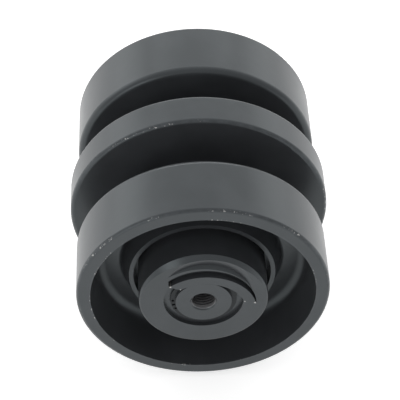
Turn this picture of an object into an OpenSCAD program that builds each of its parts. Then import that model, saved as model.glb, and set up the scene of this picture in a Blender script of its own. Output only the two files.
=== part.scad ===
// Triple-flange track roller: a forged shell with two wide rims and a centre flange
// turns on bushings over a fixed shaft. A collar on each shaft end carries the face seal
// and clamps against the track frame. The roller axis lies along Y and the near end
// faces -Y. Every end piece is drawn in a local frame with X to the right, Y up and Z
// outward along the axis, where Z is the distance from the middle plane of the roller.

/* [Shell] */
// Radius of the two outer rims that carry the track
rim_r = 95; // [88:0.5:115]
// Width of each outer rim
rim_w = 51.2; // [46:0.1:62]
// Width of each groove that a row of guide lugs runs in
groove_w = 33.5; // [28:0.5:46]
// Radius of the groove floor
groove_floor_r = 55; // [54:0.5:62]
// Radius of the centre flange
flange_r = 100.5; // [96:0.5:120]
// Width of the centre flange
flange_w = 27.6; // [22:0.1:34]
// Rounding of the outward edge of each rim
rim_edge = 2.6; // [1:0.1:4]
// Rounding of the groove edge of each rim
groove_edge = 5; // [2:0.5:8]
// Rounding of the edges of the centre flange
flange_edge = 3; // [1:0.5:5]
// Fillet at the foot of each groove
groove_fillet = 6; // [3:0.5:8]

/* [End cup] */
// Width of the flat face of the rim around the mouth of the cup
rim_face_w = 10.5; // [9:0.1:15]
// Width of the flat web between the hub and the wall of the cup
web_w = 12.2; // [9:0.2:14]
// Depth of the web below the rim face
cup_depth = 37.5; // [34:0.5:40]
// Fillet between the web and the wall of the cup
cup_fillet = 8; // [4:0.5:9]
// Depth of the hub face below the rim face
hub_depth = 21.6; // [18:0.1:26]
// Radial gap between the collar and the mouth of the hub
hub_gap = 3.7; // [2:0.1:5]
// Width of the ring face of the hub
hub_face_w = 3.4; // [2:0.1:5]
// How much wider the hub is at the web than at its face
hub_flare = 5.9; // [2:0.1:8]
// Fillet between the hub and the web
hub_fillet = 2.5; // [1:0.5:4]

/* [Shaft] */
// Radius of the journals that the bushings run on
journal_r = 22.5; // [22:0.1:24]
// Radius of the shaft ends that the collars sit on
shaft_end_r = 21; // [20.5:0.1:21.5]
// Depth that the middle of the shaft is relieved below the journals
relief_depth = 0.9; // [0.5:0.1:1.5]
// Wall radius of the threaded hole in each end, for an M20 bolt
thread_r = 8.75; // [6:0.05:9]
// Length of the threaded wall
thread_len = 30; // [20:1:34]
// Radius of the chamfer at the mouth of the threaded hole
thread_mouth_r = 10; // [9.4:0.1:11]
// Radius of the oil passages
oil_r = 3; // [2:0.5:4]
// Radius of the seat of the oil plug
oil_plug_r = 4.5; // [4:0.1:6]
// Length of the oil plug
oil_plug_len = 6; // [4:0.5:8]

/* [Collar] */
// Distance that the collar face stands proud of the rim
collar_proud = 4; // [2:0.5:8]
// Radius of the collar
collar_r = 48.4; // [47.5:0.1:49]
// Rounding of the rim of the collar face
collar_edge = 1.5; // [0.5:0.1:2.5]
// Radius of the recess around the snap ring
recess_r = 29.8; // [28.5:0.1:30]
// Depth of the recess
recess_depth = 3.3; // [3:0.1:4]
// Width of the crescent chamfer at the top of the collar face
crescent_w = 4.2; // [2:0.1:6]
// Depth of the crescent chamfer
crescent_depth = 3.6; // [2:0.1:5]
// Depth of the crescent trough at the top of the collar face
trough_depth = 3; // [1:0.1:3.5]
// Radius of the bottom line of the trough
trough_low_r = 38.1; // [37:0.1:39]
// Width of the trough on the shaft side of its bottom line
trough_in_w = 2.6; // [2:0.1:5]
// Width of the trough on the outer side of its bottom line
trough_out_w = 6.2; // [4:0.1:7]
// Direction in which the trough is deepest, from the right of the face
trough_angle = 76; // [60:1:120]
// Angle from there to each end of the trough
trough_span = 57; // [40:1:80]

/* [Keeper] */
// Distance that the keeper and the shaft end stand proud of the collar face
shaft_proud = 1.2; // [0.5:0.1:2]
// Distance from the shaft axis down to the centre of the keeper arcs
keeper_drop = 11.1; // [10.6:0.1:11.6]
// Inner radius of the keeper arc
keeper_in_r = 31.2; // [31:0.1:32]
// Outer radius of the keeper arc
keeper_out_r = 39.1; // [38.8:0.1:39.5]
// Distance from the shaft axis down to the centre of the pocket arc
pocket_drop = 4.7; // [4.2:0.1:5.2]
// Radius of the pocket arc
pocket_r = 38.7; // [38.4:0.1:39]
// Depth of the pocket below the collar face
pocket_depth = 4; // [3.8:0.1:7]
// Thickness of the keeper where it passes over the snap ring
keeper_bridge = 2; // [1.6:0.1:2.2]

/* [Snap ring] */
// Thickness of the snap ring
snap_t = 2; // [1.6:0.1:2]
// Depth of the snap ring groove in the shaft
snap_groove = 2; // [1:0.1:2.5]
// Outer radius of the snap ring
snap_out_r = 24.8; // [24:0.1:25]
// Angle between the two ear holes
snap_ear_angle = 23; // [18:1:28]

/* [Bushing] */
// Wall of the bushing
bushing_wall = 4; // [3:0.1:5]
// Length of the bushing behind its flange
bushing_len = 32; // [26:0.5:34]
// Thickness of the bushing flange
bushing_flange_t = 3; // [2:0.1:4]
// Radius of the bushing flange and of the thrust washer
bushing_flange_r = 31.4; // [30:0.1:31.8]
// Thickness of the thrust washer
washer_t = 2; // [1.5:0.1:3]

/* [Seal] */
// Distance from the middle plane to the plane where the two seal rings meet
seal_plane = 65; // [64:0.1:66]
// Length of each metal seal ring
seal_len = 9.4; // [8:0.1:9.8]
// Bore radius of the metal seal rings
seal_in_r = 33; // [32.8:0.1:33.6]
// Body radius of the metal seal rings
seal_body_r = 36; // [35.6:0.1:36.6]
// Radius of the seal face
seal_face_r = 42; // [41:0.1:42.4]
// Thickness of the seal face
seal_face_t = 2.5; // [2:0.1:3]
// Section radius of the rubber toric that loads each seal ring
toric_r = 3.5; // [3.3:0.1:3.6]
// Depth of the pocket that holds each seal ring and toric
seal_pocket = 11; // [10.5:0.1:12]
// Section radius of the O-ring in the collar bore
o_ring_r = 1.35; // [1:0.05:1.6]

/* [Fits] */
// Radial clearance of the bushings on the shaft
running_fit = 0.06; // [0.03:0.01:0.1]
// Gap between faces that turn past each other
face_gap = 0.3; // [0.2:0.05:0.4]
// Radial gap between a part and its seat in the same assembly
seat_gap = 0.04; // [0.02:0.01:0.1]

/* [Hidden] */
$fn = 96;

paint = [0.16, 0.17, 0.18];
steel = [0.62, 0.63, 0.65];
bronze = [0.72, 0.52, 0.25];
rubber = [0.08, 0.08, 0.08];

// Axial stations, all measured from the middle plane
half_w = rim_w + groove_w + flange_w / 2;
web_s = half_w - cup_depth;
hub_s = half_w - hub_depth;
collar_s = half_w + collar_proud;
face_s = collar_s + shaft_proud;
recess_s = collar_s - recess_depth;
pocket_s = collar_s - pocket_depth;
thread_end_s = face_s - thread_len;
pocket_mouth = 1;
collar_lip_s = seal_plane + pocket_mouth;
shell_lip_s = seal_plane - pocket_mouth;
collar_pocket_s = seal_plane + seal_pocket;
shell_pocket_s = seal_plane - seal_pocket;
bushing_step = 1;
bushing_seat_s = shell_pocket_s + bushing_step - bushing_flange_t;
bushing_face_s = bushing_seat_s + bushing_flange_t;
bushing_end_s = bushing_seat_s - bushing_len;
shoulder_s = bushing_face_s + washer_t + face_gap;
bushing_pocket_r = bushing_flange_r + 1;

// Radii of the end cup, from the collar out
hub_bore_r = collar_r + hub_gap;
hub_face_r = hub_bore_r + hub_face_w;
hub_root_r = hub_face_r + hub_flare;
web_r = hub_root_r + web_w;
cup_mouth_r = rim_r - rim_face_w;

// Seal section
seal_bore_gap = 2;
toric_seat = 0.4;
collar_hub_r = seal_in_r - seal_bore_gap;
toric_mid_r = seal_body_r + seat_gap + toric_r;
seal_pocket_r = toric_mid_r + toric_r + seat_gap;
toric_offset = seal_face_t + toric_r + toric_seat;
o_ring_mid_r = shaft_end_r + seat_gap + o_ring_r;
o_ring_s = (collar_pocket_s + pocket_s) / 2;

// Where the wall of the cup leaves its fillet
cup_cx = web_r;
cup_cs = web_s + cup_fillet;
mouth_dr = cup_mouth_r - cup_cx;
mouth_ds = half_w - cup_cs;
mouth_dist = sqrt(mouth_dr * mouth_dr + mouth_ds * mouth_ds);
cup_tangent = atan2(mouth_ds, mouth_dr) - acos(cup_fillet / mouth_dist);

// Where the cone of the hub leaves its fillet
hub_slope = (hub_root_r - hub_face_r) / (hub_s - web_s);
hub_lean = atan(hub_slope);
hub_fillet_s = web_s + hub_fillet;
hub_fillet_r = hub_root_r - hub_slope * hub_fillet + hub_fillet / cos(hub_lean);

// Ends of the keeper: the cut at the left and the cut at the right
keeper_left = [-25.6, 17.8];
keeper_left_in = [-15.4, 13.6];
keeper_right_in = [30.2, -1.3];
keeper_right = [39.9, -3.7];
keeper_shift = 0.9;
pocket_shift = 0.8;
pocket_left_x = -25.9;
snap_gap = 1.8;
snap_gap_angle = 193;
ear_hole_r = 1.1;
ear_r = 2.3;
ear_mid_r = 22.9;

// Height of the tool that cuts the trough, and its tilt, which ends the trough at each side
trough_top = 6;
trough_tilt = asin(trough_depth / (trough_low_r * (1 - cos(trough_span))));
cut = 1;
big = 200;

module near_end() {
    rotate([90, 0, 0])
        children();
}

module far_end() {
    rotate([0, 0, 180])
        near_end()
            children();
}

// A cylinder along the axis between two stations
module rod(r, from, to) {
    translate([0, 0, from])
        cylinder(r = r, h = to - from);
}

// A ring of rectangular section between two radii and two stations
module band(r_in, r_out, from, to) {
    difference() {
        rod(r_out, from, to);
        rod(r_in, from - cut, to + cut);
    }
}

// Half section of a disc whose two outer corners are rounded
module rounded_disc(r, from, to, edge_from, edge_to) {
    polygon([[0, from], [r - edge_from, from], [r, from + edge_from],
        [r, to - edge_to], [r - edge_to, to], [0, to]]);
    translate([r - edge_from, from + edge_from])
        circle(edge_from);
    translate([r - edge_to, to - edge_to])
        circle(edge_to);
}

// Half section of the fillet between a cylinder of radius r and a wall at station s
module foot_fillet(r, s, size, side) {
    difference() {
        translate([r - cut, min(s, s + side * size)])
            square([size + cut, size]);
        translate([r + size, s + side * size])
            circle(size);
    }
}

// Half section of the space in an end cup, outside the hub
module cup_space() {
    difference() {
        union() {
            polygon([[hub_face_r, half_w + cut], [cup_mouth_r, half_w + cut], [cup_mouth_r, half_w],
                [cup_cx + cup_fillet * cos(cup_tangent), cup_cs + cup_fillet * sin(cup_tangent)],
                [cup_cx, cup_cs], [cup_cx, web_s], [hub_root_r, web_s], [hub_face_r, hub_s]]);
            translate([cup_cx, cup_cs])
                circle(cup_fillet);
        }
        difference() {
            polygon([[hub_root_r - cut, web_s - cut], [hub_fillet_r, web_s - cut],
                [hub_fillet_r, hub_fillet_s],
                [hub_fillet_r - hub_fillet * cos(hub_lean), hub_fillet_s - hub_fillet * sin(hub_lean)],
                [hub_root_r - cut, web_s]]);
            translate([hub_fillet_r, hub_fillet_s])
                circle(hub_fillet);
        }
    }
}

// Half section of the stepped bore at one end, from the axis out
module bore_space() {
    polygon([[0, -cut], [journal_r + bushing_wall, -cut], [journal_r + bushing_wall, bushing_seat_s],
        [bushing_pocket_r, bushing_seat_s], [bushing_pocket_r, shell_pocket_s],
        [seal_pocket_r, shell_pocket_s], [seal_pocket_r, shell_lip_s],
        [hub_bore_r, shell_lip_s], [hub_bore_r, hub_s + cut], [hub_bore_r, half_w + cut],
        [0, half_w + cut]]);
}

module shell_section() {
    groove_in = flange_w / 2;
    groove_out = groove_in + groove_w;
    difference() {
        union() {
            translate([0, -half_w + cup_fillet])
                square([groove_floor_r, 2 * (half_w - cup_fillet)]);
            rounded_disc(flange_r, -groove_in, groove_in, flange_edge, flange_edge);
            for (side = [-1, 1])
                scale([1, side]) {
                    rounded_disc(rim_r, groove_out, half_w, groove_edge, rim_edge);
                    foot_fillet(groove_floor_r, groove_in, groove_fillet, 1);
                    foot_fillet(groove_floor_r, groove_out, groove_fillet, -1);
                }
        }
        for (side = [-1, 1])
            scale([1, side]) {
                cup_space();
                bore_space();
                polygon([[0, hub_s], [hub_face_r + cut, hub_s], [hub_face_r + cut, half_w + cut],
                    [0, half_w + cut]]);
            }
    }
}

module roller_shell() {
    color(paint)
        near_end()
            rotate_extrude()
                shell_section();
}

// Area between the two end cuts of the keeper, grown by a clearance at the cuts
module keeper_sector(gap) {
    left_cut = keeper_left_in - keeper_left;
    right_cut = keeper_right - keeper_right_in;
    drop = [0, -gap];
    polygon([keeper_left_in + 3 * left_cut + drop, keeper_left + drop,
        keeper_left - 2 * left_cut + drop, [-big, big], [big, big],
        keeper_right + 2 * right_cut + drop, keeper_right_in + drop]);
}

module keeper_outline(gap) {
    intersection() {
        difference() {
            translate([keeper_shift, -keeper_drop])
                circle(keeper_out_r + gap);
            translate([keeper_shift, -keeper_drop])
                circle(keeper_in_r - gap);
        }
        keeper_sector(gap);
    }
}

// The keeper lies in an arc pocket across the collar and the end of the shaft
module lock_keeper() {
    difference() {
        translate([0, 0, pocket_s])
            linear_extrude(pocket_depth + shaft_proud)
                keeper_outline(0);
        rod(snap_out_r + face_gap, pocket_s - cut, face_s - keeper_bridge);
    }
}

// Outline of the pocket in the collar, with the gap above the keeper
module pocket_outline() {
    intersection() {
        difference() {
            union() {
                translate([pocket_shift, -pocket_drop])
                    circle(pocket_r);
                translate([keeper_shift, -keeper_drop])
                    circle(keeper_out_r + seat_gap);
            }
            translate([keeper_shift, -keeper_drop])
                circle(keeper_in_r - seat_gap);
        }
        keeper_sector(seat_gap);
        translate([pocket_left_x, -big / 2])
            square([big, big]);
    }
}

// Space in the collar for the keeper. The seat of the snap ring stays under it.
module keeper_pocket() {
    difference() {
        translate([0, 0, pocket_s])
            linear_extrude(pocket_depth + cut)
                pocket_outline();
        rod(snap_out_r + face_gap - seat_gap, pocket_s - cut, recess_s);
    }
}

// Half section of the collar
module collar_section() {
    difference() {
        union() {
            polygon([[shaft_end_r + seat_gap / 2, shoulder_s], [collar_hub_r, shoulder_s],
                [collar_hub_r, collar_pocket_s], [seal_pocket_r, collar_pocket_s],
                [seal_pocket_r, collar_lip_s], [collar_r, collar_lip_s],
                [collar_r, collar_s - collar_edge], [collar_r - collar_edge, collar_s],
                [shaft_end_r + seat_gap / 2, collar_s]]);
            translate([collar_r - collar_edge, collar_s - collar_edge])
                circle(collar_edge);
        }
        translate([0, recess_s])
            square([recess_r, recess_depth + cut]);
        translate([shaft_end_r - cut, o_ring_s - o_ring_r - 2 * seat_gap])
            square([cut + 2 * (o_ring_r + seat_gap), 2 * (o_ring_r + 2 * seat_gap)]);
    }
}

// Chamfer of the collar face that is widest at the top and gone at the sides
module crescent_chamfer() {
    reach = 2 * crescent_depth;
    slope = crescent_w / crescent_depth;
    difference() {
        rod(collar_r + cut, collar_s - reach, collar_s + cut);
        translate([0, -crescent_w, collar_s - reach - cut])
            cylinder(r1 = collar_r + slope * (reach + cut), r2 = collar_r - 2 * slope * cut,
                h = reach + 3 * cut);
    }
}

// Half section of the tool that cuts the trough, with its lowest point at the bottom line
module trough_section() {
    translate([trough_low_r, 0])
        polygon([[-trough_top * trough_in_w / trough_depth, trough_top], [0, 0],
            [trough_top * trough_out_w / trough_depth, trough_top]]);
}

module collar() {
    difference() {
        rotate_extrude()
            collar_section();
        keeper_pocket();
        crescent_chamfer();
        translate([0, 0, collar_s - trough_depth + trough_low_r * sin(trough_tilt)])
            rotate([0, 0, trough_angle])
                rotate([0, trough_tilt, 0])
                    rotate_extrude()
                        trough_section();
    }
}

module snap_ring() {
    in_r = shaft_end_r - snap_groove + seat_gap;
    difference() {
        union() {
            band(in_r, snap_out_r, recess_s, recess_s + snap_t);
            for (side = [-1, 1])
                rotate(snap_gap_angle + side * snap_ear_angle / 2)
                    translate([ear_mid_r, 0, 0])
                        rod(ear_r, recess_s, recess_s + snap_t);
        }
        for (side = [-1, 1])
            rotate(snap_gap_angle + side * snap_ear_angle / 2)
                translate([ear_mid_r, 0, 0])
                    rod(ear_hole_r, recess_s - cut, recess_s + snap_t + cut);
        rotate(snap_gap_angle)
            translate([0, -snap_gap / 2, recess_s - cut])
                cube([recess_r, snap_gap, snap_t + 2 * cut]);
    }
}

// Metal seal ring: a lapped face on a body that the toric grips
module seal_ring(face_s, side) {
    far_s = face_s + side * seal_len;
    step_s = face_s + side * seal_face_t;
    band(seal_in_r, seal_face_r, min(face_s, step_s), max(face_s, step_s));
    band(seal_in_r, seal_body_r, min(step_s, far_s), max(step_s, far_s));
}

module toric(face_s, side) {
    translate([0, 0, face_s + side * toric_offset])
        rotate_extrude()
            translate([toric_mid_r, 0])
                circle(toric_r);
}

module collar_o_ring() {
    translate([0, 0, o_ring_s])
        rotate_extrude()
            translate([o_ring_mid_r, 0])
                circle(o_ring_r);
}

module bushing() {
    bore = journal_r + running_fit;
    band(bore, journal_r + bushing_wall, bushing_end_s, bushing_face_s);
    band(bore, bushing_flange_r, bushing_seat_s, bushing_face_s);
}

module thrust_washer() {
    band(journal_r + face_gap, bushing_flange_r, bushing_face_s, bushing_face_s + washer_t);
}

module threaded_hole() {
    mouth = thread_mouth_r - thread_r;
    rod(thread_r, thread_end_s, face_s + cut);
    translate([0, 0, face_s - mouth])
        cylinder(r1 = thread_r, r2 = thread_mouth_r + cut, h = mouth + cut);
}

// What is cut from one end of the shaft
module shaft_end_cuts() {
    threaded_hole();
    band(shaft_end_r - snap_groove, shaft_end_r + cut, recess_s - seat_gap, recess_s + snap_t + seat_gap);
    translate([0, 0, face_s - keeper_bridge - seat_gap])
        linear_extrude(keeper_bridge + cut)
            keeper_outline(seat_gap);
}

module shaft() {
    color(paint)
        difference() {
            near_end() {
                rod(shaft_end_r, -face_s, face_s);
                rod(journal_r, -shoulder_s, shoulder_s);
            }
            near_end() {
                shaft_end_cuts();
                band(journal_r - relief_depth, journal_r + cut, -bushing_end_s, bushing_end_s);
                rod(oil_plug_r, thread_end_s - oil_plug_len, thread_end_s + cut);
                rod(oil_r, 0, thread_end_s);
                rotate([90, 0, 0])
                    rod(oil_r, -big, big);
            }
            far_end()
                shaft_end_cuts();
        }
}

module oil_plug() {
    color(steel)
        near_end()
            rod(oil_plug_r - seat_gap, thread_end_s - oil_plug_len, thread_end_s);
}

module collar_near() {
    color(paint)
        near_end()
            collar();
}

module collar_far() {
    color(paint)
        far_end()
            collar();
}

module snap_ring_near() {
    color(paint)
        near_end()
            snap_ring();
}

module snap_ring_far() {
    color(paint)
        far_end()
            snap_ring();
}

module lock_keeper_near() {
    color(paint)
        near_end()
            lock_keeper();
}

module lock_keeper_far() {
    color(paint)
        far_end()
            lock_keeper();
}

module collar_o_ring_near() {
    color(rubber)
        near_end()
            collar_o_ring();
}

module collar_o_ring_far() {
    color(rubber)
        far_end()
            collar_o_ring();
}

module fixed_seal_ring_near() {
    color(steel)
        near_end()
            seal_ring(seal_plane + face_gap / 2, 1);
}

module fixed_seal_ring_far() {
    color(steel)
        far_end()
            seal_ring(seal_plane + face_gap / 2, 1);
}

module fixed_toric_near() {
    color(rubber)
        near_end()
            toric(seal_plane + face_gap / 2, 1);
}

module fixed_toric_far() {
    color(rubber)
        far_end()
            toric(seal_plane + face_gap / 2, 1);
}

module bushing_near() {
    color(bronze)
        near_end()
            bushing();
}

module bushing_far() {
    color(bronze)
        far_end()
            bushing();
}

module thrust_washer_near() {
    color(bronze)
        near_end()
            thrust_washer();
}

module thrust_washer_far() {
    color(bronze)
        far_end()
            thrust_washer();
}

module turning_seal_ring_near() {
    color(steel)
        near_end()
            seal_ring(seal_plane - face_gap / 2, -1);
}

module turning_seal_ring_far() {
    color(steel)
        far_end()
            seal_ring(seal_plane - face_gap / 2, -1);
}

module turning_toric_near() {
    color(rubber)
        near_end()
            toric(seal_plane - face_gap / 2, -1);
}

module turning_toric_far() {
    color(rubber)
        far_end()
            toric(seal_plane - face_gap / 2, -1);
}

shaft();
oil_plug();
collar_near();
collar_far();
snap_ring_near();
snap_ring_far();
lock_keeper_near();
lock_keeper_far();
collar_o_ring_near();
collar_o_ring_far();
fixed_seal_ring_near();
fixed_seal_ring_far();
fixed_toric_near();
fixed_toric_far();
roller_shell();
bushing_near();
bushing_far();
thrust_washer_near();
thrust_washer_far();
turning_seal_ring_near();
turning_seal_ring_far();
turning_toric_near();
turning_toric_far();
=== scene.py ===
"""Looks of the track roller: satin black paint over a forged shell and two machined ends.

Lengths are in metres. The roller's axis is Y, its near end faces -Y, and its centre is the origin.
Finishes are worked out from each point's distance from the axis and from the middle plane.
"""

import math

import bmesh
import bpy
from mathutils import Matrix, Vector


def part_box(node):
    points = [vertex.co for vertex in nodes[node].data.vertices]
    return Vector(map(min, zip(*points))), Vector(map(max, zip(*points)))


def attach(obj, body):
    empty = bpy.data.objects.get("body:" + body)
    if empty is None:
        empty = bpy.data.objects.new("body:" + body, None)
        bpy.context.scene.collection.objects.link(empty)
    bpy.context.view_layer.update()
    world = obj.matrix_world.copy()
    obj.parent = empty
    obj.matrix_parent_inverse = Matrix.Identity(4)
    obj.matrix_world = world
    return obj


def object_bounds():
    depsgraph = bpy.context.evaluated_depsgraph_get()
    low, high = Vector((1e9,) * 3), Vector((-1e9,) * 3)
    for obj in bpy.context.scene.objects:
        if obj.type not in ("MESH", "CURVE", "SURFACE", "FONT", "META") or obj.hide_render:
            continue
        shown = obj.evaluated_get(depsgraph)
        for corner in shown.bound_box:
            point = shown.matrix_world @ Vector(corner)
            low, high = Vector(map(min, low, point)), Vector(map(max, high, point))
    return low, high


MM = 0.001
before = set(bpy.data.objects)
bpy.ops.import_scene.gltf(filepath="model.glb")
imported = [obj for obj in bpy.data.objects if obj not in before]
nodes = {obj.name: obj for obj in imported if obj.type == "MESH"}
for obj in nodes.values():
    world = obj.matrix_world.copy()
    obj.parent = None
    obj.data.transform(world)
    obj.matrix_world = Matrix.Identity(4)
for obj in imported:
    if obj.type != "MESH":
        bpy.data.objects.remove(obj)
cad_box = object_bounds()


def band_radius(node, low, high, pick=max):
    """Largest (or smallest) distance from the axis that a node reaches between two |y| stations."""
    found = [math.hypot(v.co.x, v.co.z) for v in nodes[node].data.vertices if low <= abs(v.co.y) <= high]
    return pick(found)


def band_station(node, radius):
    """Width along the axis of the part of a node that lies beyond a radius."""
    found = [v.co.y for v in nodes[node].data.vertices if math.hypot(v.co.x, v.co.z) > radius]
    return max(found) - min(found)


# Sizes read off the frame
shell_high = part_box("roller_shell")[1]
half_width = shell_high.y
flange_r = shell_high.z
rim_r = band_radius("roller_shell", half_width * 0.7, half_width)
cup_r = band_radius("roller_shell", half_width - 0.1 * MM, half_width + MM, min)
flange_half = 0.5 * band_station("roller_shell", rim_r + MM)
collar_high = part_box("collar_far")[1]
collar_r = collar_high.x
collar_face = collar_high.y
shaft_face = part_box("shaft")[1].y
thread_mouth_r = band_radius("shaft", shaft_face - 0.01 * MM, shaft_face, min)
thread_r = band_radius("shaft", shaft_face - 2 * MM, shaft_face, min)


# ---------------------------------------------------------------- materials

class Graph:
    """A material's node tree, built by short calls. Each call returns the socket that it makes."""

    def __init__(self, name):
        self.material = bpy.data.materials.new(name)
        self.material.use_nodes = True
        self.nodes = self.material.node_tree.nodes
        self.links = self.material.node_tree.links
        self.shader = self.nodes["Principled BSDF"]
        coordinates = self.nodes.new("ShaderNodeTexCoord")
        self.place = coordinates.outputs["Object"]
        split = self.nodes.new("ShaderNodeSeparateXYZ")
        self.links.new(self.place, split.inputs[0])
        self.x, self.y, self.z = split.outputs
        self.station = self.math("ABSOLUTE", self.y)
        facing = self.math("MULTIPLY", self.math("SIGN", self.y), -1.0)
        self.across = self.math("MULTIPLY", self.x, facing)
        self.radius = self.math("SQRT", self.math("ADD", self.power(self.x), self.power(self.z)))

    def feed(self, socket, value):
        if isinstance(value, bpy.types.NodeSocket):
            self.links.new(value, socket)
        else:
            socket.default_value = value

    def math(self, operation, *values, clamp=False):
        node = self.nodes.new("ShaderNodeMath")
        node.operation = operation
        node.use_clamp = clamp
        for socket, value in zip(node.inputs, values):
            self.feed(socket, value)
        return node.outputs[0]

    def power(self, value):
        return self.math("MULTIPLY", value, value)

    def ramp(self, value, start, end, low=0.0, high=1.0):
        """A smooth step from low at start to high at end."""
        node = self.nodes.new("ShaderNodeMapRange")
        node.interpolation_type = "SMOOTHSTEP"
        for socket, number in zip(node.inputs, (value, start, end, low, high)):
            self.feed(socket, number)
        return node.outputs[0]

    def noise(self, size, detail=3.0, stretch=(1, 1, 1), place=None):
        """Noise with features of about that size, in metres."""
        mapping = self.nodes.new("ShaderNodeMapping")
        mapping.inputs["Scale"].default_value = stretch
        self.links.new(place or self.place, mapping.inputs["Vector"])
        node = self.nodes.new("ShaderNodeTexNoise")
        node.inputs["Scale"].default_value = 1 / size
        node.inputs["Detail"].default_value = detail
        self.links.new(mapping.outputs[0], node.inputs["Vector"])
        return node.outputs["Fac"]

    def section(self):
        """A point's place in the half section: distance from the axis and from the middle plane."""
        join = self.nodes.new("ShaderNodeCombineXYZ")
        self.links.new(self.radius, join.inputs[0])
        self.links.new(self.station, join.inputs[1])
        return join.outputs[0]

    def nearest(self, edges):
        """Distance in the half section from the nearest of some (radius, station) edges."""
        best = None
        for radius, station in edges:
            across = self.math("SUBTRACT", self.radius, radius)
            along = self.math("SUBTRACT", self.station, station)
            away = self.math("SQRT", self.math("ADD", self.power(across), self.power(along)))
            best = away if best is None else self.math("MINIMUM", best, away)
        return best

    def nearest_point(self, points):
        """Distance from the nearest of some (across, height, reach) spots on an end face."""
        best = None
        for across, height, reach in points:
            sideways = self.math("SUBTRACT", self.across, across)
            upward = self.math("SUBTRACT", self.z, height)
            away = self.math("SQRT", self.math("ADD", self.power(sideways), self.power(upward)))
            away = self.math("SUBTRACT", away, reach)
            best = away if best is None else self.math("MINIMUM", best, away)
        return best

    def mix(self, share, first, second):
        node = self.nodes.new("ShaderNodeMix")
        node.data_type = "RGBA"
        self.feed(node.inputs["Factor"], share)
        self.feed(node.inputs["A"], first)
        self.feed(node.inputs["B"], second)
        return node.outputs["Result"]

    def bump(self, *layers):
        """Stacks (height, depth in metres) layers of bump into the shader's normal."""
        last = None
        for height, depth in layers:
            node = self.nodes.new("ShaderNodeBump")
            node.inputs["Distance"].default_value = depth
            self.links.new(height, node.inputs["Height"])
            if last is not None:
                self.links.new(last, node.inputs["Normal"])
            last = node.outputs[0]
        self.links.new(last, self.shader.inputs["Normal"])

    def finish(self, **inputs):
        for name, value in inputs.items():
            self.feed(self.shader.inputs[name.replace("_", " ")], value)
        return self.material


def grey(level, tint=(0.93, 0.98, 1.07)):
    return tuple(level * t for t in tint) + (1.0,)


PAINT = grey(0.040)
PAINT_PALE = grey(0.048)
RUBBED = grey(0.10)
# Pale uncoated steel, for chipped edges and for painted glints.
BARE_STEEL_AND_GLINT = grey(0.42, (1.0, 0.99, 0.97))
OILED_STEEL = (0.2, 0.2, 0.205, 1.0)
OILED_STEEL_DARK = (0.13, 0.127, 0.125, 1.0)
BRONZE = (0.6, 0.38, 0.16, 1.0)
BRONZE_DARK = (0.4, 0.24, 0.1, 1.0)
PAINT_GLINT = (0.88, 1.0, 1.03, 1.0)
PAINT_GRAIN = 0.012 * MM


def paint(name, grain, edges=(), points=(), chips=0.6, bare_inside=None,
          colours=(PAINT, PAINT_PALE), shine=0.5):
    """Satin black paint whose two colours mix in clouds. shine is its specular level.

    It is rubbed pale and chipped to the steel along its edges, and round its points it has painted
    glints, spots of pale uncoated steel. Inside the radius bare_inside there is oiled steel instead.
    """
    g = Graph(name)
    cloud = g.noise(28 * MM, 4)
    mottle = g.noise(5 * MM, 3)
    peel = g.noise(1.1 * MM, 2)
    skin = g.noise(0.35 * MM, 2)
    colour = g.mix(g.ramp(cloud, 0.35, 0.7), *colours)
    gloss = g.ramp(cloud, 0.25, 0.75, 0.29, 0.34)
    bare_and_glint = None
    if edges:
        away = g.nearest(edges)
        rub = g.math("MULTIPLY", g.ramp(away, 0.25 * MM, 1.5 * MM, 1, 0), g.ramp(mottle, 0.35, 0.7))
        colour = g.mix(g.math("MULTIPLY", rub, 0.4), colour, RUBBED)
        speck = g.ramp(g.noise(1.7 * MM, 4), chips, chips + 0.04)
        patch = g.ramp(g.noise(31 * MM, 2), 0.54, 0.62)
        chipped = g.math("MULTIPLY", speck, patch)
        bare_and_glint = g.math("MULTIPLY", chipped, g.ramp(away, 0.5 * MM, 1.1 * MM, 1, 0))
    # Painted glints: spots of pale uncoated steel round the given points.
    if points:
        glint_away = g.math("ADD", g.nearest_point(points), g.math("MULTIPLY", g.noise(1.5 * MM, 3), 1.6 * MM))
        bare_and_glint = g.ramp(glint_away, 0.65 * MM, 0.95 * MM, 1, 0)
    if bare_inside:
        colour = g.mix(g.ramp(g.radius, bare_inside, bare_inside + 0.2 * MM, 1, 0), colour, OILED_STEEL)
    g.bump((cloud, 0.12 * MM), (peel, grain), (skin, 0.2 * grain))
    if bare_and_glint is not None:
        # Chipped edges and painted glints both mix in pale uncoated steel here.
        colour = g.mix(bare_and_glint, colour, BARE_STEEL_AND_GLINT)
        g.finish(Metallic=g.math("MULTIPLY", bare_and_glint, 0.8))
    return g.finish(Base_Color=colour, Roughness=gloss,
                    Specular_Tint=PAINT_GLINT, Specular_IOR_Level=shine)


def turned_metal(name, colour, dark, roughness, pitch):
    """Bare turned metal: fine rings of tool marks round the axis, with darker blotches."""
    g = Graph(name)
    rings = g.noise(pitch, 2, place=g.section())
    blotch = g.noise(9 * MM, 4)
    wear = g.math("ADD", rings, g.math("MULTIPLY", blotch, 0.5))
    gloss = g.ramp(wear, 0.5, 1.0, roughness - 0.08, roughness + 0.08)
    g.bump((rings, 0.03 * MM), (g.noise(0.5 * MM, 2), 0.01 * MM))
    tone = g.mix(g.ramp(blotch, 0.4, 0.75), colour, dark)
    return g.finish(Base_Color=tone, Roughness=gloss, Metallic=1.0)


def rubber(name):
    """Matt nitrile rubber with a moulded skin."""
    g = Graph(name)
    cloud = g.noise(6 * MM, 4)
    g.bump((g.noise(0.6 * MM, 3), 0.03 * MM), (cloud, 0.05 * MM))
    tone = g.mix(cloud, grey(0.012), grey(0.03))
    return g.finish(Base_Color=tone, Roughness=g.ramp(cloud, 0.3, 0.7, 0.6, 0.75))


def give(material, *names):
    for name in names:
        data = nodes[name].data
        data.materials.clear()
        data.materials.append(material)


def both(*names):
    return [f"{name}_{end}" for name in names for end in ("near", "far")]


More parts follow.
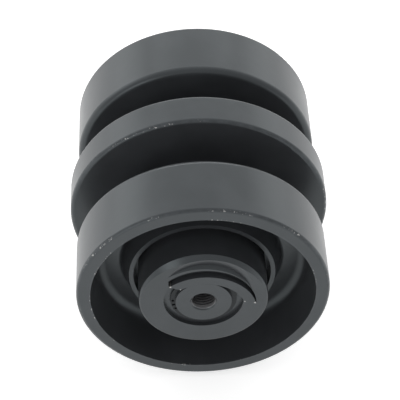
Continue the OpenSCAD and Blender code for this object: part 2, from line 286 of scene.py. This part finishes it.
def glint_corners(node):
    """The four corners of a keeper's front face, each with how far its painted glint of pale steel
    reaches.
    """
    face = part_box(node)[0].y
    found = [v.co for v in nodes[node].data.vertices if v.co.y < face + 0.01 * MM]
    left = min(found, key=lambda co: co.x)
    right = max(found, key=lambda co: co.x)
    right_inner = min((co for co in found if 0 < co.x < 0.8 * right.x), key=lambda co: co.z)
    left_inner = min((co for co in found if 0.8 * left.x < co.x < 0), key=lambda co: co.z)
    reaches = ((left, 1.7), (right, 1.7), (right_inner, 0.8), (left_inner, 0.7))
    return [(co.x, co.z, reach * MM) for co, reach in reaches]


rim_edges = [(rim_r - 0.8 * MM, half_width - 0.8 * MM), (cup_r, half_width)]
flange_edges = [(flange_r - 0.9 * MM, flange_half - 0.9 * MM)]
collar_edges = [(collar_r - 0.4 * MM, collar_face - 0.4 * MM)]
shell_paint = paint("shell_paint", PAINT_GRAIN, edges=rim_edges + flange_edges, chips=0.58)
end_paint = paint("end_paint", PAINT_GRAIN, edges=collar_edges, chips=0.62)
# The keeper gets painted glints, spots of pale steel, at the four corners of its front face.
keeper_paint_and_glints = paint("keeper_paint_and_glints", PAINT_GRAIN, points=glint_corners("lock_keeper_near"))
shaft_paint = paint("shaft_paint", PAINT_GRAIN, bare_inside=thread_r + 0.2 * MM)
# Snap rings: darker and less shiny paint than the shell and the ends.
spring_paint = paint("spring_paint", 0.01 * MM, colours=(grey(0.018), grey(0.024)), shine=0.2)
thread_steel = turned_metal("thread_steel", OILED_STEEL, OILED_STEEL_DARK, 0.38, 0.4 * MM)
seal_iron = turned_metal("seal_iron", grey(0.4), grey(0.25), 0.28, 0.3 * MM)
bronze = turned_metal("bronze", BRONZE, BRONZE_DARK, 0.35, 0.4 * MM)
plug_steel = turned_metal("plug_steel", grey(0.6), grey(0.45), 0.3, 0.3 * MM)
seal_rubber = rubber("rubber")
give(shell_paint, "roller_shell")
give(end_paint, *both("collar"))
give(keeper_paint_and_glints, *both("lock_keeper"))
give(shaft_paint, "shaft")
give(spring_paint, *both("snap_ring"))
give(seal_iron, *both("fixed_seal_ring", "turning_seal_ring"))
give(bronze, *both("bushing", "thrust_washer"))
give(plug_steel, "oil_plug")
give(seal_rubber, *both("collar_o_ring", "fixed_toric", "turning_toric"))


# ---------------------------------------------------------------- threads

def thread_turns(name, end, length=27 * MM, pitch=2.5 * MM, steps=40):
    """The helical ridge of a thread, taken as M20, in one shaft end. The end is -1 near and 1 far."""
    root_r = thread_r + 0.05 * MM
    crest_r = thread_r - 0.3 * MM
    root_half = 1.05 * MM
    crest_half = 0.3 * MM
    profile = [(root_r, -root_half), (crest_r, -crest_half), (crest_r, crest_half), (root_r, root_half)]
    mouth = thread_mouth_r - thread_r
    run_in = 1.2 * MM
    start = shaft_face - mouth - run_in
    bm = bmesh.new()
    rings = []
    for i in range(int(length / pitch * steps) + 1):
        turn = 2 * math.pi * i / steps
        depth = start - pitch * i / steps
        rings.append([bm.verts.new((r * math.cos(turn), end * (depth + along), r * math.sin(turn)))
                      for r, along in profile])
    for here, there in zip(rings, rings[1:]):
        for k in range(len(profile)):
            follow = (k + 1) % len(profile)
            bm.faces.new((here[k], here[follow], there[follow], there[k]))
    bm.faces.new(rings[0])
    bm.faces.new(reversed(rings[-1]))
    bmesh.ops.recalc_face_normals(bm, faces=bm.faces)
    mesh = bpy.data.meshes.new(name)
    bm.to_mesh(mesh)
    bm.free()
    mesh.materials.append(thread_steel)
    piece = bpy.data.objects.new(name, mesh)
    bpy.context.scene.collection.objects.link(piece)
    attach(piece, "axle")


thread_turns("thread_turns_near", -1)
thread_turns("thread_turns_far", 1)


# ---------------------------------------------------------------- camera, floor and light

WORLD_FRONT = 0.6
WORLD_BACK = 1.0
FLOOR_GLOW = 0.6
FLOOR_HALF = 6.0
FLOOR_GAP = 0.2 * MM


def place_camera():
    """The photograph's view: down at the near end, a little from its left."""
    pitch = math.radians(46.91)
    heading = math.radians(2.256)
    level = math.cos(pitch)
    forward = Vector((math.sin(heading) * level, math.cos(heading) * level, -math.sin(pitch)))
    right = Vector((math.cos(heading), -math.sin(heading), 0))
    up = right.cross(forward)
    data = bpy.data.cameras.new("camera")
    data.lens = 138
    data.sensor_width = 36
    camera = bpy.data.objects.new("camera", data)
    seat = Vector((-0.3293, -8.7193, 9.3317)) * rim_r
    camera.matrix_world = Matrix.Translation(seat) @ Matrix((right, up, -forward)).transposed().to_4x4()
    bpy.context.scene.collection.objects.link(camera)
    bpy.context.scene.camera = camera


def floor_material():
    """Pale floor that looks white to the camera but keeps the roller's shadow."""
    material = bpy.data.materials.new("floor")
    material.use_nodes = True
    tree = material.node_tree
    shader = tree.nodes["Principled BSDF"]
    shader.inputs["Base Color"].default_value = (0.82, 0.82, 0.82, 1)
    shader.inputs["Roughness"].default_value = 0.9
    shader.inputs["Specular IOR Level"].default_value = 0.0
    shader.inputs["Emission Color"].default_value = (1, 1, 1, 1)
    rays = tree.nodes.new("ShaderNodeLightPath")
    lift = None
    for ray in ("Is Camera Ray", "Is Glossy Ray", "Is Transmission Ray"):
        share = tree.nodes.new("ShaderNodeMath")
        share.operation = "MULTIPLY"
        share.inputs[1].default_value = FLOOR_GLOW
        tree.links.new(rays.outputs[ray], share.inputs[0])
        if lift is not None:
            total = tree.nodes.new("ShaderNodeMath")
            tree.links.new(lift, total.inputs[0])
            tree.links.new(share.outputs[0], total.inputs[1])
            share = total
        lift = share.outputs[0]
    tree.links.new(lift, shader.inputs["Emission Strength"])
    return material


def make_floor():
    mesh = bpy.data.meshes.new("floor")
    bm = bmesh.new()
    bmesh.ops.create_grid(bm, x_segments=1, y_segments=1, size=FLOOR_HALF)
    bm.to_mesh(mesh)
    bm.free()
    floor = bpy.data.objects.new("floor", mesh)
    floor.location = (0, 0, cad_box[0][2] - FLOOR_GAP)
    mesh.materials.append(floor_material())
    bpy.context.scene.collection.objects.link(floor)


def make_world():
    """A white studio, darker in front of the roller than behind it, and plain white to the camera."""
    world = bpy.data.worlds.new("studio")
    bpy.context.scene.world = world
    world.use_nodes = True
    tree = world.node_tree
    background = tree.nodes["Background"]
    coordinates = tree.nodes.new("ShaderNodeTexCoord")
    split = tree.nodes.new("ShaderNodeSeparateXYZ")
    tree.links.new(coordinates.outputs["Generated"], split.inputs[0])
    light = tree.nodes.new("ShaderNodeMapRange")
    light.interpolation_type = "SMOOTHSTEP"
    light.inputs["From Min"].default_value = -0.4
    light.inputs["From Max"].default_value = 0.7
    light.inputs["To Min"].default_value = WORLD_FRONT
    light.inputs["To Max"].default_value = WORLD_BACK
    tree.links.new(split.outputs[1], light.inputs["Value"])
    rays = tree.nodes.new("ShaderNodeLightPath")
    level = tree.nodes.new("ShaderNodeMapRange")
    level.inputs["To Max"].default_value = 1.0
    tree.links.new(light.outputs[0], level.inputs["To Min"])
    tree.links.new(rays.outputs["Is Camera Ray"], level.inputs["Value"])
    tree.links.new(level.outputs[0], background.inputs["Strength"])
    background.inputs["Color"].default_value = (1, 1, 1, 1)


def softbox(name, place, size, watts):
    """A rectangular lamp that faces the roller from a place given in metres."""
    data = bpy.data.lights.new(name, "AREA")
    data.shape = "RECTANGLE"
    data.size, data.size_y = size
    data.energy = watts
    lamp = bpy.data.objects.new(name, data)
    lamp.location = place
    lamp.rotation_euler = (-Vector(place)).to_track_quat("-Z", "Y").to_euler()
    bpy.context.scene.collection.objects.link(lamp)


bpy.context.scene.view_settings.view_transform = "Standard"
place_camera()
make_floor()
make_world()
softbox("key_softbox", (-1.45, -2.0, 0.75), (0.9, 0.7), 6)
softbox("left_softbox", (-2.0, 0.6, 1.0), (1.4, 1.6), 4)
softbox("left_back_softbox", (-2.0, 1.9, 0.8), (1.6, 1.3), 7)
softbox("right_back_softbox", (2.0, 1.9, 0.8), (1.6, 1.3), 6)
softbox("back_softbox", (0, 3.0, 1.5), (3.0, 1.2), 22)
